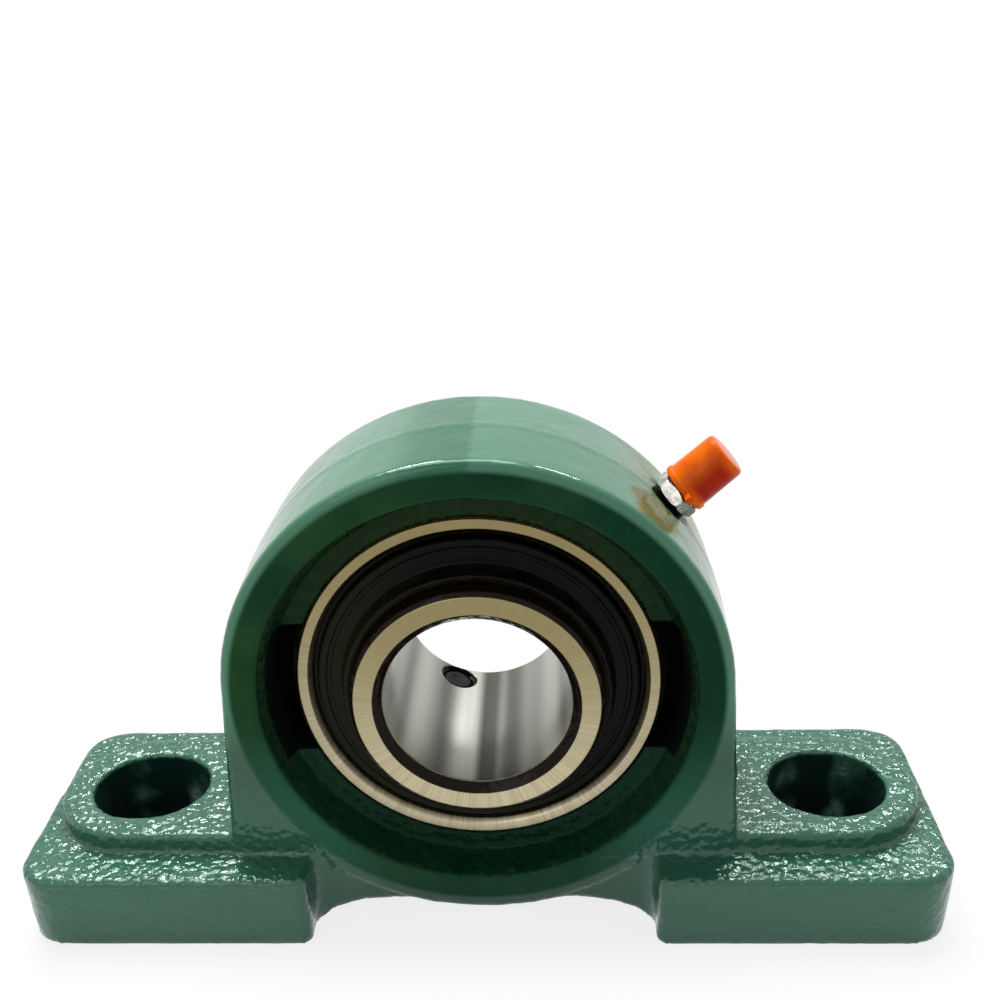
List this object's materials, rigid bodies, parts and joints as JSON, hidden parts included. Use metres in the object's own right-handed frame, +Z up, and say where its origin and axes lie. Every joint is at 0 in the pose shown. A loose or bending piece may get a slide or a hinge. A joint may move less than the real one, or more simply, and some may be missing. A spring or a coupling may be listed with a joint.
{
  "type": "pillow block bearing",
  "caption": "Cast pillow block on two slotted feet with a swivelling insert ball bearing, set screws in its inner ring and a capped grease nipple.",
  "frame": {"origin": "on the base plane, midway between the two bolts and in the mid-plane of the seat", "axes": "+X along the base, towards the grease nipple; the loading slots and the short end of the inner ring face -Y, the set screws lie on the +Y side; +Z up from the base"},
  "size_m": [0.1574, 0.046, 0.0838],
  "materials": {
    "green_enamel": "glossy enamel over a sand-cast surface",
    "ring_steel": "ground bearing steel",
    "ball_steel": "polished",
    "cage_steel": "pressed sheet",
    "seal_steel": "pressed sheet",
    "black_rubber": "satin",
    "screw_steel": "black oxide",
    "zinc_steel": "zinc plated",
    "spring_steel": "drawn wire",
    "orange_plastic": "moulded"
  },
  "bodies": {
    "housing": {"housing": "green_enamel", "grease_nipple": "zinc_steel", "nipple_spring": "spring_steel"},
    "insert_outer": {"outer_ring": "ring_steel", "seal_front_core": "seal_steel", "seal_front_rubber": "black_rubber", "seal_back_core": "seal_steel", "seal_back_rubber": "black_rubber"},
    "shaft_ring": {"inner_ring": "ring_steel", "slinger_front_plate": "seal_steel", "slinger_front_rubber": "black_rubber", "slinger_back_plate": "seal_steel", "slinger_back_rubber": "black_rubber"},
    "ball_cage": {"cage_front_half": "cage_steel", "cage_back_half": "cage_steel", "cage_rivets": "cage_steel"},
    "ball_1": {"ball_1": "ball_steel"},
    "ball_2": {"ball_2": "ball_steel"},
    "ball_3": {"ball_3": "ball_steel"},
    "ball_4": {"ball_4": "ball_steel"},
    "ball_5": {"ball_5": "ball_steel"},
    "ball_6": {"ball_6": "ball_steel"},
    "ball_7": {"ball_7": "ball_steel"},
    "ball_8": {"ball_8": "ball_steel"},
    "ball_9": {"ball_9": "ball_steel"},
    "set_screw_1": {"set_screw_1": "screw_steel"},
    "set_screw_2": {"set_screw_2": "screw_steel"},
    "nipple_check_ball": {"nipple_check_ball": "ball_steel"},
    "dust_cap": {"dust_cap": "orange_plastic"}
  },
  "joints": [
    {"name": "insert_swivel", "type": "hinge", "parent": "housing", "child": "insert_outer", "pos_m": [0, 0, 0.0429], "axis": [1, 0, 0], "range_deg": [-2, 2]},
    {"name": "inner_ring_spin", "type": "hinge", "parent": "insert_outer", "child": "shaft_ring", "pos_m": [0, 0, 0.0429], "axis": [0, 1, 0], "continuous": true},
    {"name": "cage_orbit", "type": "hinge", "parent": "insert_outer", "child": "ball_cage", "pos_m": [0, 0, 0.0429], "axis": [0, 1, 0], "continuous": true},
    {"name": "ball_1_spin", "type": "hinge", "parent": "ball_cage", "child": "ball_1", "pos_m": [0, 0, 0.0659], "axis": [0, 1, 0], "continuous": true},
    {"name": "ball_2_spin", "type": "hinge", "parent": "ball_cage", "child": "ball_2", "pos_m": [-0.01478, 0, 0.06052], "axis": [0, 1, 0], "continuous": true},
    {"name": "ball_3_spin", "type": "hinge", "parent": "ball_cage", "child": "ball_3", "pos_m": [-0.02265, 0, 0.04689], "axis": [0, 1, 0], "continuous": true},
    {"name": "ball_4_spin", "type": "hinge", "parent": "ball_cage", "child": "ball_4", "pos_m": [-0.01992, 0, 0.0314], "axis": [0, 1, 0], "continuous": true},
    {"name": "ball_5_spin", "type": "hinge", "parent": "ball_cage", "child": "ball_5", "pos_m": [-0.00787, 0, 0.02129], "axis": [0, 1, 0], "continuous": true},
    {"name": "ball_6_spin", "type": "hinge", "parent": "ball_cage", "child": "ball_6", "pos_m": [0.00787, 0, 0.02129], "axis": [0, 1, 0], "continuous": true},
    {"name": "ball_7_spin", "type": "hinge", "parent": "ball_cage", "child": "ball_7", "pos_m": [0.01992, 0, 0.0314], "axis": [0, 1, 0], "continuous": true},
    {"name": "ball_8_spin", "type": "hinge", "parent": "ball_cage", "child": "ball_8", "pos_m": [0.02265, 0, 0.04689], "axis": [0, 1, 0], "continuous": true},
    {"name": "ball_9_spin", "type": "hinge", "parent": "ball_cage", "child": "ball_9", "pos_m": [0.01478, 0, 0.06052], "axis": [0, 1, 0], "continuous": true},
    {"name": "set_screw_1_travel", "type": "slide", "parent": "shaft_ring", "child": "set_screw_1", "axis": [-0.3584, 0, -0.9336], "range_m": [-0.0004, 0.003]},
    {"name": "set_screw_2_travel", "type": "slide", "parent": "shaft_ring", "child": "set_screw_2", "axis": [-0.6293, 0, 0.7771], "range_m": [-0.0004, 0.003]},
    {"name": "dust_cap_pull", "type": "slide", "parent": "housing", "child": "dust_cap", "axis": [0.7431, 0, 0.6691], "range_m": [0, 0.015]},
    {"name": "check_ball_travel", "type": "slide", "parent": "housing", "child": "nipple_check_ball", "axis": [-0.7431, 0, -0.6691], "range_m": [0, 0.0005], "stiffness_N_per_m": 50, "springref_m": -0.0005, "deforming": ["nipple_spring"]}
  ],
  "couplings": [
    {"joint": "cage_orbit", "follows": "inner_ring_spin", "ratio": 0.39647},
    {"joint": "ball_1_spin", "follows": "inner_ring_spin", "ratio": -2.3112},
    {"joint": "ball_2_spin", "follows": "inner_ring_spin", "ratio": -2.3112},
    {"joint": "ball_3_spin", "follows": "inner_ring_spin", "ratio": -2.3112},
    {"joint": "ball_4_spin", "follows": "inner_ring_spin", "ratio": -2.3112},
    {"joint": "ball_5_spin", "follows": "inner_ring_spin", "ratio": -2.3112},
    {"joint": "ball_6_spin", "follows": "inner_ring_spin", "ratio": -2.3112},
    {"joint": "ball_7_spin", "follows": "inner_ring_spin", "ratio": -2.3112},
    {"joint": "ball_8_spin", "follows": "inner_ring_spin", "ratio": -2.3112},
    {"joint": "ball_9_spin", "follows": "inner_ring_spin", "ratio": -2.3112}
  ]
}
